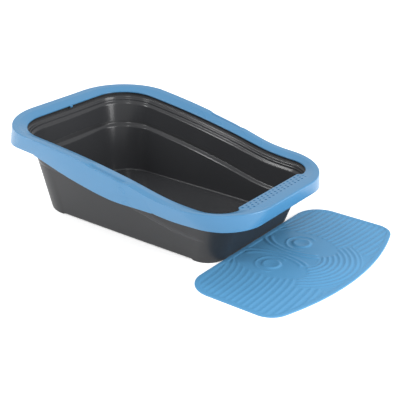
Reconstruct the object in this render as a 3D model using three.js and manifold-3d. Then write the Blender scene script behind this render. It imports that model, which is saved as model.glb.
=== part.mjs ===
// Open cat litter tray with a clip-over rim frame and a separate relief mat.
// Millimetres, +Z up. The low entry end faces -Y, and the mat lies on the floor in front of it.
import * as THREE from 'three';
import { mergeVertices } from 'three/addons/utils/BufferGeometryUtils.js';
import Module from 'manifold-3d';

// ---- Driving dimensions: the rim's opening ----
const OPENING_LENGTH = 528;        // between the front and back lips
const OPENING_WIDTH = 332;         // between the side lips at mid-length
const OPENING_TAPER = 0.055;       // share by which the width grows to the back, and shrinks to the front
const OPENING_RADIUS_FRONT = 55;
const OPENING_RADIUS_BACK = 80;
const LIP_HEIGHT_FRONT = 117;      // floor to lip at the low entry end
const LIP_HEIGHT_BACK = 182;
// How the lip climbs: share of the half-length against share of the climb.
const SWEEP = [[-1, 0], [-0.575, 0.09], [-0.18, 0.405], [0.21, 0.667], [0.61, 0.864], [1, 1]];

// ---- Rim frame ----
const RIM_WALL = 2;
const LIP_DEPTH = 2.5;             // inner lip, down into the tray
const LIP_ROUND = 1.2;
const BRIM_FRONT = 45;             // top face, from the lip to the outer edge
const BRIM_SIDE = 30;
const BRIM_SWELL = 2;              // extra width of the rear half of each side
const SWELL_FROM = -62;            // where along the side the swell starts, and how long it takes
const SWELL_RAMP = 20;
const BRIM_BACK = 35.5;
const BRIM_RISE_FRONT = 5.5;       // the outer edge stands this much above the lip
const BRIM_RISE_BACK = 8.5;
const RISE_FROM = -200;            // along the side, where the rise starts to grow, and where it stops
const RISE_TO = -60;
const CROWN_SHARE = 0.6;           // of the rise, reached half-way across the top face
const BRIM_ROUND = 5;
const BRIM_RADIUS_FRONT = 125;
const BRIM_RADIUS_BACK = 122;
const HEM_OUT_FRONT = 38;          // lower edge of the skirt, outside the lip line
const HEM_OUT_SIDE = 15.5;
const HEM_OUT_BACK = 16;
const HEM_RADIUS_FRONT = 84;
const HEM_RADIUS_BACK = 50;
// Depth of the skirt below the lip: share of the half-length against millimetres.
const SKIRT_DEPTH = [[-1.15, 25], [-0.78, 30], [-0.41, 38], [-0.05, 55], [0.32, 52], [0.69, 34],
  [1.06, 31]];
const TONGUE_REACH = 8.5;          // the front lip stands inwards between the two corners
const TONGUE_HALF_WIDTH = 109;
const TONGUE_RAMP = 10;
const LUG_SIZE = [6, 4, 4];        // catch on the middle of the back lip: width, reach, height
const LUG_ROOT = 0.5;              // how far the catch is sunk into the lip

// ---- Tray ----
const TRAY_WALL = 2;
const FIT_GAP = 0.5;               // between the tray's flange and the rim frame around it
const FLANGE_WIDTH = 11;           // from the lip line, short enough for the skirt to lift past it
const FLANGE_EDGE = 5;             // turned-down edge of the flange
const BASE_IN_FRONT = 37;          // foot of the outer wall, inside the lip line
const BASE_IN_SIDE = 28;
const BASE_IN_BACK = 27;
const BASE_BOW = 3;                // the base's long sides bow out this much at mid-length
const BASE_RADIUS_FRONT = 39;
const BASE_RADIUS_BACK = 70;
const FOOT_HEIGHT = 2.5;
const FOOT_WIDTH = 14;
const FRONT_FOOT_LENGTH = 48;      // along the side, from the front of the base
const BACK_FOOT_LENGTH = 78;
const BACK_FOOT_ACROSS = 62;       // along the back, from the side of the base
const BASE_BEVEL = 2;
const FLOOR_FILLET = 4;
const WALL_TOP_IN = 1;             // the wall just below the rim's lip: inside the lip line, and below it
const WALL_TOP_DROP = 8;
const BAND_IN = 3.4;               // smooth band above the upper ledge
const BAND_DROP = 15.5;
const BAND_LEAN = 0.6;
const UPPER_LEDGE_DROP = 21;       // below the lip
const UPPER_LEDGE = 4.4;
const LOWER_LEDGE_DROP = 70;
const LOWER_LEDGE = 7;
const LEDGE_FALL = 5;

// ---- Mat ----
const MAT_WIDTH = 441;
const MAT_DEPTH = 190;             // back edge to the front corners
const MAT_BOW = 44;                // the front edge bows out this much further
const MAT_RADIUS_BACK = 54;
const MAT_RADIUS_FRONT = 42;
const MAT_SHEET = 1.8;
const MAT_BORDER = 9;
const MAT_RELIEF = 1.4;            // border and bosses above the sheet
const MAT_GAP = 0.5;               // to the foot of the tray
const MAT_SHIFT = -10;             // lies a little off the tray's centre line
const BOSS_RADIUS = 18;
const BOSS_SPACING = 108;
const BOSS_FROM_BACK = 80;

// ---- How finely the outlines are divided ----
const SIDE_STEPS = 18;
const CORNER_STEPS = 7;
const END_STEPS = 8;

const wasm = await Module();
wasm.setup();

const halfLength = OPENING_LENGTH / 2;
const halfWidth = OPENING_WIDTH / 2;
const floorTop = FOOT_HEIGHT + TRAY_WALL;
const ROUND_MID = 1 - Math.SQRT1_2;  // where the middle of a quarter round lies, as a share of its radius

// A smooth step from 0 to 1 while x goes from a to b.
function ramp(x, a, b) {
  return THREE.MathUtils.smoothstep(x, a, b);
}

// A height or depth read off a smooth curve through a few stations along the half-length.
function stationCurve(stations) {
  const points = new THREE.SplineCurve(stations.map(([s, v]) => new THREE.Vector2(s, v))).getPoints(90);
  return (y) => {
    const s = THREE.MathUtils.clamp(y / halfLength, points[0].x, points.at(-1).x);
    const next = Math.max(1, points.findIndex((p) => p.x >= s));
    const [a, b] = [points[next - 1], points[next]];
    return THREE.MathUtils.lerp(a.y, b.y, (s - a.x) / (b.x - a.x));
  };
}
const climb = stationCurve(SWEEP);
const skirtDepth = stationCurve(SKIRT_DEPTH);
const brimRise = (y) => THREE.MathUtils.lerp(BRIM_RISE_FRONT, BRIM_RISE_BACK, ramp(y, RISE_FROM, RISE_TO));
const lipHeight = (y) => THREE.MathUtils.lerp(LIP_HEIGHT_FRONT, LIP_HEIGHT_BACK, climb(y));

// One loop of plan points round a rounded rectangle, anticlockwise from the middle of the front.
// Every outline of the tray and rim has the same number of points, so that rings can be joined.
function outline({ half, front, back, radiusFront, radiusBack, taper = 0, swell = 0, bow = 0 }) {
  const right = [];
  const put = (x, y) => right.push(new THREE.Vector2(x, y));
  const arc = (cx, cy, r, from) => {
    for (let i = 0; i <= CORNER_STEPS; i += 1) {
      const a = from + (Math.PI / 2) * (i / CORNER_STEPS);
      put(cx + r * Math.cos(a), cy + r * Math.sin(a));
    }
  };
  for (let i = 0; i < END_STEPS; i += 1) put(((half - radiusFront) * i) / END_STEPS, front);
  arc(half - radiusFront, front + radiusFront, radiusFront, -Math.PI / 2);
  const sideFrom = front + radiusFront;
  const sideTo = back - radiusBack;
  for (let i = 1; i < SIDE_STEPS; i += 1) put(half, sideFrom + ((sideTo - sideFrom) * i) / SIDE_STEPS);
  arc(half - radiusBack, back - radiusBack, radiusBack, 0);
  for (let i = 1; i <= END_STEPS; i += 1) put((half - radiusBack) * (1 - i / END_STEPS), back);
  const left = right.slice(1, -1).reverse().map((p) => new THREE.Vector2(-p.x, p.y));
  return right.concat(left).map(({ x, y }) => {
    const extra = swell * ramp(y, SWELL_FROM, SWELL_FROM + SWELL_RAMP) * Math.abs(x / half) ** 3;
    const arch = bow * (1 - (y / halfLength) ** 2) * Math.abs(x / half) ** 3;
    const bulge = extra * (1 - ramp(y, sideTo - SWELL_RAMP, back)) + arch;
    return new THREE.Vector2(x * (1 + (taper * y) / halfLength) + Math.sign(x) * bulge, y);
  });
}

// The outlines that the tray and the rim share.
const lipLine = outline({
  half: halfWidth, front: -halfLength, back: halfLength,
  radiusFront: OPENING_RADIUS_FRONT, radiusBack: OPENING_RADIUS_BACK, taper: OPENING_TAPER,
});
const brimLine = outline({
  half: halfWidth + BRIM_SIDE, front: -halfLength - BRIM_FRONT, back: halfLength + BRIM_BACK,
  radiusFront: BRIM_RADIUS_FRONT, radiusBack: BRIM_RADIUS_BACK, taper: OPENING_TAPER, swell: BRIM_SWELL,
});
const hemLine = outline({
  half: halfWidth + HEM_OUT_SIDE, front: -halfLength - HEM_OUT_FRONT, back: halfLength + HEM_OUT_BACK,
  radiusFront: HEM_RADIUS_FRONT, radiusBack: HEM_RADIUS_BACK, taper: OPENING_TAPER,
});
const baseLine = outline({
  half: halfWidth - BASE_IN_SIDE, front: -halfLength + BASE_IN_FRONT, back: halfLength - BASE_IN_BACK,
  radiusFront: BASE_RADIUS_FRONT, radiusBack: BASE_RADIUS_BACK, bow: BASE_BOW,
});

// A plan point a distance from one point towards another.
function towards(from, to, distance) {
  const step = to.clone().sub(from).setLength(distance);
  return from.clone().add(step);
}

// A closed mesh from rings of equal length. Open lofts are capped at both ends.
function loft(rings, closed) {
  const count = rings[0].length;
  const positions = rings.flat().flatMap((p) => [p.x, p.y, p.z]);
  const index = [];
  const rows = closed ? rings.length : rings.length - 1;
  for (let r = 0; r < rows; r += 1) {
    const here = r * count;
    const next = ((r + 1) % rings.length) * count;
    for (let i = 0; i < count; i += 1) {
      const j = (i + 1) % count;
      index.push(here + i, here + j, next + j, here + i, next + j, next + i);
    }
  }
  if (!closed) {
    const cap = (ring) => THREE.ShapeUtils.triangulateShape(ring.map((p) => new THREE.Vector2(p.x, p.y)), []);
    const last = (rings.length - 1) * count;
    cap(rings[0]).forEach(([a, b, c]) => index.push(a, c, b));
    cap(rings.at(-1)).forEach(([a, b, c]) => index.push(last + a, last + b, last + c));
  }
  const geometry = new THREE.BufferGeometry();
  geometry.setAttribute('position', new THREE.Float32BufferAttribute(positions, 3));
  geometry.setIndex(index);
  return geometry;
}

// Section rows become rings: each row gives a plan point and a height at every station.
function sectionRings(rows) {
  return rows.map((row) => lipLine.map((_, i) => {
    const [plan, z] = row(i);
    return new THREE.Vector3(plan.x, plan.y, z);
  }));
}

function toSolid(geometry) {
  const bare = new THREE.BufferGeometry();
  bare.setAttribute('position', geometry.getAttribute('position').clone());
  if (geometry.index) bare.setIndex(geometry.index.clone());
  const merged = mergeVertices(bare, 1e-4);
  return new wasm.Manifold(new wasm.Mesh({
    numProp: 3,
    vertProperties: new Float32Array(merged.getAttribute('position').array),
    triVerts: new Uint32Array(merged.index.array),
  }));
}

function toGeometry(solid) {
  const mesh = solid.getMesh();
  const geometry = new THREE.BufferGeometry();
  geometry.setAttribute('position', new THREE.BufferAttribute(mesh.vertProperties, 3));
  geometry.setIndex(new THREE.BufferAttribute(mesh.triVerts, 1));
  geometry.computeVertexNormals();
  return geometry;
}

function boxSolid(size, centre) {
  return toSolid(new THREE.BoxGeometry(...size).translate(...centre));
}

// ---- Rim frame: a channel that fits over the tray's flange ----

// How far the front lip stands in at a point of the lip line.
function tongue(lip) {
  const onFront = lip.y < -halfLength + OPENING_RADIUS_FRONT ? 1 : 0;
  const edge = TONGUE_HALF_WIDTH - TONGUE_RAMP;
  return onFront * TONGUE_REACH * (1 - ramp(Math.abs(lip.x), edge, TONGUE_HALF_WIDTH));
}

function rimFrame() {
  const lipHeights = lipLine.map((p) => lipHeight(p.y));
  const hemHeights = hemLine.map((p) => lipHeight(p.y) - skirtDepth(p.y));
  const edge = lipLine.map((p) => new THREE.Vector2(p.x, p.y + tongue(p)));
  const out = (i, distance) => towards(edge[i], brimLine[i], distance);
  const inFromBrim = (i, distance) => towards(brimLine[i], lipLine[i], distance);
  const crown = (i) => edge[i].clone().lerp(brimLine[i], 0.5);
  const rises = lipLine.map((p) => brimRise(p.y));
  const top = (i) => lipHeights[i] + rises[i];
  const rows = [
    (i) => [edge[i], lipHeights[i] - LIP_DEPTH],
    (i) => [out(i, RIM_WALL), lipHeights[i] - LIP_DEPTH],
    (i) => [out(i, RIM_WALL), lipHeights[i] - RIM_WALL],
    (i) => [crown(i), lipHeights[i] + rises[i] * CROWN_SHARE - RIM_WALL],
    (i) => [inFromBrim(i, BRIM_ROUND), top(i) - RIM_WALL],
    (i) => [inFromBrim(i, RIM_WALL), top(i) - BRIM_ROUND],
    (i) => [towards(hemLine[i], lipLine[i], RIM_WALL), hemHeights[i]],
    (i) => [hemLine[i], hemHeights[i]],
    (i) => [brimLine[i], top(i) - BRIM_ROUND],
    (i) => [inFromBrim(i, BRIM_ROUND * ROUND_MID), top(i) - BRIM_ROUND * ROUND_MID],
    (i) => [inFromBrim(i, BRIM_ROUND), top(i)],
    (i) => [crown(i), lipHeights[i] + rises[i] * CROWN_SHARE],
    (i) => [out(i, LIP_ROUND), lipHeights[i]],
    (i) => [edge[i], lipHeights[i] - LIP_ROUND],
  ];
  const frame = toSolid(loft(sectionRings(rows), true));
  const [width, reach, height] = LUG_SIZE;
  const lugY = halfLength - reach / 2 + LUG_ROOT;
  return frame.add(boxSolid([width, reach, height], [0, lugY, LIP_HEIGHT_BACK - LIP_ROUND - height / 2]));
}

// ---- Tray: walls with two moulded ledges, a flange under the rim and low feet ----

function trayShell() {
  const lipHeights = lipLine.map((p) => lipHeight(p.y));
  const outwards = (i, distance) => towards(lipLine[i], brimLine[i], distance);
  const inwards = (i, distance) => towards(lipLine[i], baseLine[i], distance);
  const inset = (i, distance) => towards(baseLine[i], lipLine[i], -distance);
  const run = (i) => lipLine[i].distanceTo(baseLine[i]) + TRAY_WALL;
  // The wall's slope is what is left of the run once both ledges and the band are taken off.
  const slope = (i) => (run(i) - UPPER_LEDGE - LOWER_LEDGE - BAND_IN)
    / (lipHeights[i] - floorTop - UPPER_LEDGE_DROP - 2 * LEDGE_FALL);
  const upperIn = BAND_IN + UPPER_LEDGE;
  const lowerIn = (i) => upperIn + slope(i) * (LOWER_LEDGE_DROP - UPPER_LEDGE_DROP - LEDGE_FALL);
  const lowerFoot = (i) => lowerIn(i) + LOWER_LEDGE;
  const channel = RIM_WALL + FIT_GAP;
  // The flange follows the underside of the brim, which climbs most of its rise in its inner half.
  const climbShare = (i) => (FLANGE_WIDTH - RIM_WALL) / (lipLine[i].distanceTo(brimLine[i]) / 2 - RIM_WALL);
  const edgeTop = (i) => lipHeights[i] + brimRise(lipLine[i].y) * CROWN_SHARE * climbShare(i) - channel;
  // The outer face of the wall stands one wall's thickness outside the inner face, and lower down.
  const innerFace = (distance, drop) => (i) => [inwards(i, distance(i)), lipHeights[i] - drop];
  const outerFace = (distance, drop) => innerFace((i) => distance(i) - TRAY_WALL, drop + TRAY_WALL);
  const at = (distance) => () => distance;
  const rows = [
    (i) => [inset(i, BASE_BEVEL), FOOT_HEIGHT],
    (i) => [baseLine[i], FOOT_HEIGHT + BASE_BEVEL],
    outerFace(lowerFoot, LOWER_LEDGE_DROP + LEDGE_FALL),
    outerFace(lowerIn, LOWER_LEDGE_DROP),
    outerFace(at(upperIn), UPPER_LEDGE_DROP + LEDGE_FALL),
    outerFace(at(BAND_IN), UPPER_LEDGE_DROP),
    (i) => [outwards(i, TRAY_WALL - WALL_TOP_IN), lipHeights[i] - WALL_TOP_DROP - TRAY_WALL],
    (i) => [outwards(i, channel + TRAY_WALL), lipHeights[i] - channel - TRAY_WALL],
    (i) => [outwards(i, FLANGE_WIDTH - TRAY_WALL), edgeTop(i) - TRAY_WALL],
    (i) => [outwards(i, FLANGE_WIDTH - TRAY_WALL), edgeTop(i) - FLANGE_EDGE],
    (i) => [outwards(i, FLANGE_WIDTH), edgeTop(i) - FLANGE_EDGE],
    (i) => [outwards(i, FLANGE_WIDTH), edgeTop(i)],
    (i) => [outwards(i, channel), lipHeights[i] - channel],
    (i) => [outwards(i, channel), lipHeights[i] - LIP_DEPTH - FIT_GAP],
    innerFace(at(WALL_TOP_IN), WALL_TOP_DROP),
    innerFace(at(BAND_IN - BAND_LEAN), BAND_DROP),
    innerFace(at(BAND_IN), UPPER_LEDGE_DROP),
    innerFace(at(upperIn), UPPER_LEDGE_DROP + LEDGE_FALL),
    innerFace(lowerIn, LOWER_LEDGE_DROP),
    innerFace(lowerFoot, LOWER_LEDGE_DROP + LEDGE_FALL),
    (i) => [inset(i, TRAY_WALL), floorTop + FLOOR_FILLET],
    (i) => [inset(i, TRAY_WALL + FLOOR_FILLET * ROUND_MID), floorTop + FLOOR_FILLET * ROUND_MID],
    (i) => [inset(i, TRAY_WALL + FLOOR_FILLET), floorTop],
  ];
  return toSolid(loft(sectionRings(rows), false));
}

// A band round the underside, kept along the whole front and at the two back corners.
function lowFeet() {
  const inset = (i, distance) => towards(baseLine[i], lipLine[i], -distance);
  const band = toSolid(loft(sectionRings([
    (i) => [inset(i, BASE_BEVEL), 0],
    (i) => [inset(i, BASE_BEVEL), FOOT_HEIGHT + TRAY_WALL / 2],
    (i) => [inset(i, FOOT_WIDTH), FOOT_HEIGHT + TRAY_WALL / 2],
    (i) => [inset(i, FOOT_WIDTH), 0],
  ]), true));
  const half = halfWidth - BASE_IN_SIDE;
  const frontEdge = -halfLength + BASE_IN_FRONT;
  const backEdge = halfLength - BASE_IN_BACK;
  const tall = FOOT_HEIGHT * 4;
  const feet = [];
  for (const side of [-1, 1]) {
    for (const [end, length, across] of [
      [frontEdge, FRONT_FOOT_LENGTH, half], [backEdge, -BACK_FOOT_LENGTH, BACK_FOOT_ACROSS]]) {
      const corner = boxSolid([across, Math.abs(length), tall],
        [side * (half - across / 2), end + length / 2, 0]);
      feet.push(band.intersect(corner));
    }
  }
  return feet.reduce((all, foot) => all.add(foot));
}

// ---- Mat: a thin sheet with a raised border and two round bosses ----

// The mat's outline, drawn in by an inset. Its back edge is straight and its front edge bows out.
function matShape(inset) {
  const half = MAT_WIDTH / 2;
  const bowRadius = (half ** 2 + MAT_BOW ** 2) / (2 * MAT_BOW);
  const centreY = -MAT_DEPTH - MAT_BOW + bowRadius;
  const r = MAT_RADIUS_FRONT;
  const cornerX = half - r;
  const reach = Math.sqrt((bowRadius - r) ** 2 - cornerX ** 2);
  const cornerY = centreY - reach;
  const turn = Math.atan2(-reach, cornerX);
  const backX = half - MAT_RADIUS_BACK;
  const shape = new THREE.Shape();
  shape.absarc(0, centreY, bowRadius - inset, Math.PI - turn - 2 * Math.PI, turn, false);
  shape.absarc(cornerX, cornerY, r - inset, turn, 0, false);
  shape.absarc(backX, -MAT_RADIUS_BACK, MAT_RADIUS_BACK - inset, 0, Math.PI / 2, false);
  shape.absarc(-backX, -MAT_RADIUS_BACK, MAT_RADIUS_BACK - inset, Math.PI / 2, Math.PI, false);
  shape.absarc(-cornerX, cornerY, r - inset, Math.PI, Math.PI - turn, false);
  return shape;
}

function reliefMat() {
  const full = MAT_SHEET + MAT_RELIEF;
  const slab = (inset, depth, z) => toSolid(new THREE.ExtrudeGeometry(matShape(inset),
    { depth, bevelEnabled: false, curveSegments: 14 }).translate(0, 0, z));
  const bosses = [-1, 1].map((side) => toSolid(new THREE.CylinderGeometry(BOSS_RADIUS, BOSS_RADIUS, full, 40)
    .rotateX(Math.PI / 2)
    .translate((side * BOSS_SPACING) / 2, -BOSS_FROM_BACK, full / 2)));
  const sheet = slab(0, full, 0).subtract(slab(MAT_BORDER, full, MAT_SHEET));
  return bosses.reduce((all, boss) => all.add(boss), sheet);
}

// ---- Materials and scene ----
const finish = (name, color, roughness) => new THREE.MeshStandardMaterial({
  name, color, roughness, metalness: 0,
});
const trayPlastic = finish('tray_plastic', 0x4e4f52, 0.38);
const rimPlastic = finish('rim_plastic', 0x6aa1cd, 0.42);
const matPlastic = finish('mat_plastic', 0x689fcb, 0.4);

function piece(name, solid, material) {
  const mesh = new THREE.Mesh(toGeometry(solid), material);
  mesh.name = name;
  return mesh;
}

const tray = piece('tray', trayShell().add(lowFeet()), trayPlastic);
const rim = piece('rim_frame', rimFrame(), rimPlastic);
const mat = piece('mat', reliefMat(), matPlastic);
const matBackEdge = -halfLength + BASE_IN_FRONT - MAT_GAP;
mat.position.set(MAT_SHIFT, matBackEdge, 0);

// The origin is the middle of the whole set's footprint, on the floor.
const setBack = halfLength + BRIM_BACK;
const setFront = matBackEdge - MAT_DEPTH - MAT_BOW;
const set = new THREE.Group();
set.add(tray, rim, mat);
set.position.set(-MAT_SHIFT, -(setBack + setFront) / 2, 0);
const group = new THREE.Group();
group.add(set);

export default group;
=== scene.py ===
import math

import bmesh
import bpy
import numpy as np
from bpy.props import FloatProperty, FloatVectorProperty, IntProperty, PointerProperty
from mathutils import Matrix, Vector


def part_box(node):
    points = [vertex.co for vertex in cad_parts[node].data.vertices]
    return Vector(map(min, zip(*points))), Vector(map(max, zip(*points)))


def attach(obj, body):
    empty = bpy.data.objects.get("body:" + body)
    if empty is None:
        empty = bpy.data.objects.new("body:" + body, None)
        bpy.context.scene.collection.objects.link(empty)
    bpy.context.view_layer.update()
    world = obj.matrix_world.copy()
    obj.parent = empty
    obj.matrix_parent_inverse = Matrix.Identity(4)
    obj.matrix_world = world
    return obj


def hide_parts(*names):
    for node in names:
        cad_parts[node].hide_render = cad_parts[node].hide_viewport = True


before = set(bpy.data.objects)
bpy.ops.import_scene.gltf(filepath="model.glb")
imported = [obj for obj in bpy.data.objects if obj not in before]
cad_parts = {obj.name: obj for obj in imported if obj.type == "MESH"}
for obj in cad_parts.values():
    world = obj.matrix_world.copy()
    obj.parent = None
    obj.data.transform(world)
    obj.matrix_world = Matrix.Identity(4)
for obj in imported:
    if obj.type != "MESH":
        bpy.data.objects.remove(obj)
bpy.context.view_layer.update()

bl_info = {
    "name": "Litter tray builder",
    "version": (1, 0, 0),
    "blender": (4, 5, 0),
    "location": "View3D > Sidebar > Litter Tray",
    "description": "Builds an open cat litter tray with its rim frame, relief mat and a plain studio",
    "category": "Add Mesh",
}

MM = 0.001
RIM_LOW, RIM_HIGH = (np.array(corner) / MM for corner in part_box("rim_frame"))
MAT_LOW, MAT_HIGH = (np.array(corner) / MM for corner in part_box("mat"))

# How finely the outlines and roundings are divided.
END_STEPS = 44
CORNER_STEPS = 22
SIDE_STEPS = 104
ROUND_STEPS = 4

# Share by which the width grows to the back, and shrinks to the front.
OPENING_TAPER = 0.055
# How the lip climbs to the back: share of the half-length against share of the climb.
CLIMB = [(-1.0, 0.0), (-0.575, 0.09), (-0.18, 0.405), (0.21, 0.667), (0.61, 0.864), (1.0, 1.0)]
# Depth of the skirt below the lip in three stretches that meet at soft corners, in millimetres
# against the share of the half-length.
HEM_FRONT = [(-1.2, 25.0), (-0.78, 30.0), (-0.45, 36.0)]
HEM_BELLY = [(-0.42, 38.0), (-0.05, 55.5), (0.32, 52.0), (0.7, 34.5)]
HEM_BACK = [(0.73, 33.0), (1.1, 31.0)]

# The sizes from here to the lamps are in millimetres, apart from shares. A span is where something
# fades in or out, measured from the tray's middle towards the back unless its comment says otherwise.
SWELL_IN, SWELL_OUT_FROM = (-62, -42), 150
PAD_IN, PAD_OUT = (-68, -48), (18, 34)
RISE_SPAN = (-200, -60)

# The rim's top face bends at its crown, a share of the way out and up from the lip.
CROWN_OUT, CROWN_UP, CROWN_EXTRA = 0.55, 0.72, 0.5
LIP_DEPTH = 2.5
# The tongue fades out between these distances from the middle of the front.
TONGUE_END = (99, 109)
# Rounding of the top face's outer edge: at the sides, what the front adds, and where it is added,
# as distances past the front lip.
SHOULDER, SHOULDER_FRONT, SHOULDER_SPAN = 2.6, 7.5, (-70, 44)
# Grooves of the grip pads: shares of the way from the crown to the outer edge, and their size.
GROOVES, GROOVE_HALF, GROOVE_DEPTH = (0.62, 0.5, 0.38, 0.26), 0.045, 0.7
# Distance of the first row of dimples from the tongue's edge.
DIMPLE_START = 7.5
# The catch on the back lip: half its width, its reach in and out, its height, its place below the lip.
CATCH_HALF, CATCH_IN, CATCH_OUT, CATCH_TALL, CATCH_DROP, CATCH_ROUND = 3, 3.5, 0.5, 4, 1.2, 0.6

FIT_GAP = 0.5
LEDGE_FALL = 5.0
# How far the wall between the lip and the upper ledge stands in, and the groove under the rim out.
BAND_IN, GUTTER = 3.4, 4.5
# The flange's edge, and its share of the top face's rise.
FLANGE_EDGE, FLANGE_CLIMB = 5, 0.6
# The feet end between these distances from the base's front, its back and its sides.
FRONT_FOOT_END, BACK_FOOT_END, FOOT_SIDE_END = (45, 48), (75, 78), (59, 64)

# The mat's pattern: the ovals round the bosses, and the arcs round a point behind the middle.
OVAL_WIDE, OVAL_LONG = 39, 66
ARC_CENTRE, ARC_PITCH, ARC_START, ARC_END = 113.0, 10.4, (30, 36), (112, 116)
MAT_INSET, MAT_BORDER = 1.2, 7.5
# The mat's edge: how far out and below the border it rounds over, then how far out and above the floor.
EDGE_OVER = [(0.55, 0.12), (0.95, 0.4), (1.2, 0.9)]
EDGE_UNDER = [(1.2, 0.3), (0.8, 0.0)]

# The lamps: name, place and size in metres, and power in watts.
LAMPS = [
    ("overhead", (0.05, 1.35, 2.1), (0.12, 1.2), 8.0),
    ("left", (-1.7, 1.2, 1.2), (0.25, 0.9), 14.0),
    ("right", (0.6, -2.3, 0.85), (1.2, 1.7), 46.0),
    ("front strip", (-1.5, -1.15, 2.1), (0.3, 0.8), 12.0),
]
# Where the lamps and the camera aim, and the floor's width, in metres.
LAMPS_AIM = (0.0, 0.0, 0.1)
CAMERA_AIM = (-0.0585, -0.0623, 0.09)
FLOOR_SIZE = 24


# ---------------------------------------------------------------- settings

def length(name, description, default):
    return FloatProperty(name=name, description=description, default=default * MM, unit="LENGTH", precision=4)


class RimSettings(bpy.types.PropertyGroup):
    """Sizes of the clip-over rim frame."""
    opening_length: length("Opening length", "From the front lip's corners to the back lip", 528)
    opening_width: length("Opening width", "Between the side lips at mid-length", 332)
    radius_front: length("Front radius", "Corner radius of the opening at the front", 55)
    radius_back: length("Back radius", "Corner radius of the opening at the back", 80)
    brim_front: length("Front brim", "Width of the top face at the low entry end", 45)
    brim_side: length("Side brim", "Width of the top face along the front half of each side", 30)
    brim_swell: length("Side swell", "Extra width of the top face along the rear half of each side", 2)
    brim_back: length("Back brim", "Width of the top face at the back", 35.5)
    brim_radius_front: length("Brim front radius", "Corner radius of the outer edge at the front", 125)
    brim_radius_back: length("Brim back radius", "Corner radius of the outer edge at the back", 122)
    rise_front: length("Front rise", "How far the outer edge stands above the lip at the front", 5.5)
    rise_back: length("Back rise", "How far the outer edge stands above the lip at the back", 8.5)
    hem_front: length("Front hem", "Lower edge of the skirt outside the lip at the front", 38)
    hem_side: length("Side hem", "Lower edge of the skirt outside the lip at the sides", 15.5)
    hem_back: length("Back hem", "Lower edge of the skirt outside the lip at the back", 16)
    hem_radius_front: length("Hem front radius", "Corner radius of the skirt's lower edge at the front", 84)
    hem_radius_back: length("Hem back radius", "Corner radius of the skirt's lower edge at the back", 50)
    pad_drop: length("Pad drop", "How far the outer edge is lowered along the grip pads", 2.6)
    wall: length("Wall", "Thickness of the moulding", 2)
    tongue: length("Tongue", "How far the front lip stands in between its two corners", 8.5)
    dimple_pitch: length("Dimple pitch", "Distance between the grip dimples in a row", 12.6)
    dimple_gap: length("Dimple row gap", "Distance between the rows of grip dimples", 8.6)
    dimple_radius: length("Dimple radius", "Radius of one grip dimple", 2.6)
    dimple_depth: length("Dimple depth", "Depth of one grip dimple", 1.6)
    dimple_columns: IntProperty(name="Dimples per row", description="Grip dimples in one row", default=16)
    dimple_rows: IntProperty(name="Dimple rows", description="Rows of grip dimples", default=3)


class TraySettings(bpy.types.PropertyGroup):
    """Sizes of the dark tray."""
    lip_front: length("Front height", "Height of the lip at the low entry end", 117)
    lip_back: length("Back height", "Height of the lip at the back", 182)
    wall: length("Wall", "Thickness of the moulding", 2)
    base_in_front: length("Front lean", "How far the base lies inside the front lip", 37)
    base_in_side: length("Side lean", "How far the base lies inside the side lips", 28)
    base_in_back: length("Back lean", "How far the base lies inside the back lip", 27)
    base_radius_front: length("Base front radius", "Corner radius of the base at the front", 39)
    base_radius_back: length("Base back radius", "Corner radius of the base at the back", 70)
    flange: length("Flange", "Width of the flange under the rim, from the lip line", 11)
    base_bow: length("Base bow", "How far the base's long sides bow out at mid-length", 3)
    foot_height: length("Foot height", "Height of the feet, one along the front and two at the back", 2.5)
    upper_ledge: length("Upper ledge", "Width of the upper ledge round the walls", 4.6)
    lower_ledge: length("Lower ledge", "Width of the lower ledge round the walls", 7)
    upper_drop: length("Upper ledge drop", "Depth of the upper ledge below the lip", 21)
    lower_drop: length("Lower ledge drop", "Depth of the lower ledge below the lip", 70)


class MatSettings(bpy.types.PropertyGroup):
    """Sizes of the relief mat."""
    bow: length("Bow", "How far the front edge bows out", 44)
    radius_back: length("Back radius", "Corner radius beside the tray", 54)
    radius_front: length("Front radius", "Corner radius at the front", 42)
    sheet: length("Sheet", "Thickness of the plain sheet", 1.6)
    ridge: length("Ridge height", "Height of the raked ridges", 1.2)
    pitch: length("Ridge pitch", "Distance between the side ridges", 12.4)
    grid: length("Grid", "Spacing of the mesh that carries the relief", 1.35)
    boss_spacing: length("Boss spacing", "Distance between the two round bosses", 108)
    boss_back: length("Boss place", "Distance of the bosses from the back edge", 80)


class LookSettings(bpy.types.PropertyGroup):
    """Colours, and where the camera stands."""
    rim_colour: FloatVectorProperty(
        name="Rim colour", description="Colour of the rim plastic", subtype="COLOR", size=3,
        min=0, max=1, default=(0.054, 0.198, 0.372))
    mat_colour: FloatVectorProperty(
        name="Mat colour", description="Colour of the mat plastic", subtype="COLOR", size=3,
        min=0, max=1, default=(0.088, 0.275, 0.487))
    tray_colour: FloatVectorProperty(
        name="Tray colour", description="Colour of the tray plastic", subtype="COLOR", size=3,
        min=0, max=1, default=(0.0235, 0.0242, 0.0262))
    floor_colour: FloatVectorProperty(
        name="Floor colour", description="Colour of the studio floor", subtype="COLOR", size=3,
        min=0, max=1, default=(0.95, 0.95, 0.95))
    azimuth: FloatProperty(
        name="Azimuth", description="Direction the camera looks in, from the long axis",
        default=math.radians(-52.55), subtype="ANGLE")
    elevation: FloatProperty(
        name="Elevation", description="How far the camera looks down", default=math.radians(24.11),
        subtype="ANGLE")
    distance: FloatProperty(
        name="Distance", description="From the aim point to the camera", default=1.808, unit="LENGTH")
    lens: FloatProperty(name="Lens", description="Focal length in millimetres", default=84.5)


# ---------------------------------------------------------------- outlines and sections

def smooth(x, start, end):
    """Goes smoothly from 0 to 1 while x goes from start to end."""
    t = np.clip((np.asarray(x, float) - start) / (end - start), 0, 1)
    return t * t * (3 - 2 * t)


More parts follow.
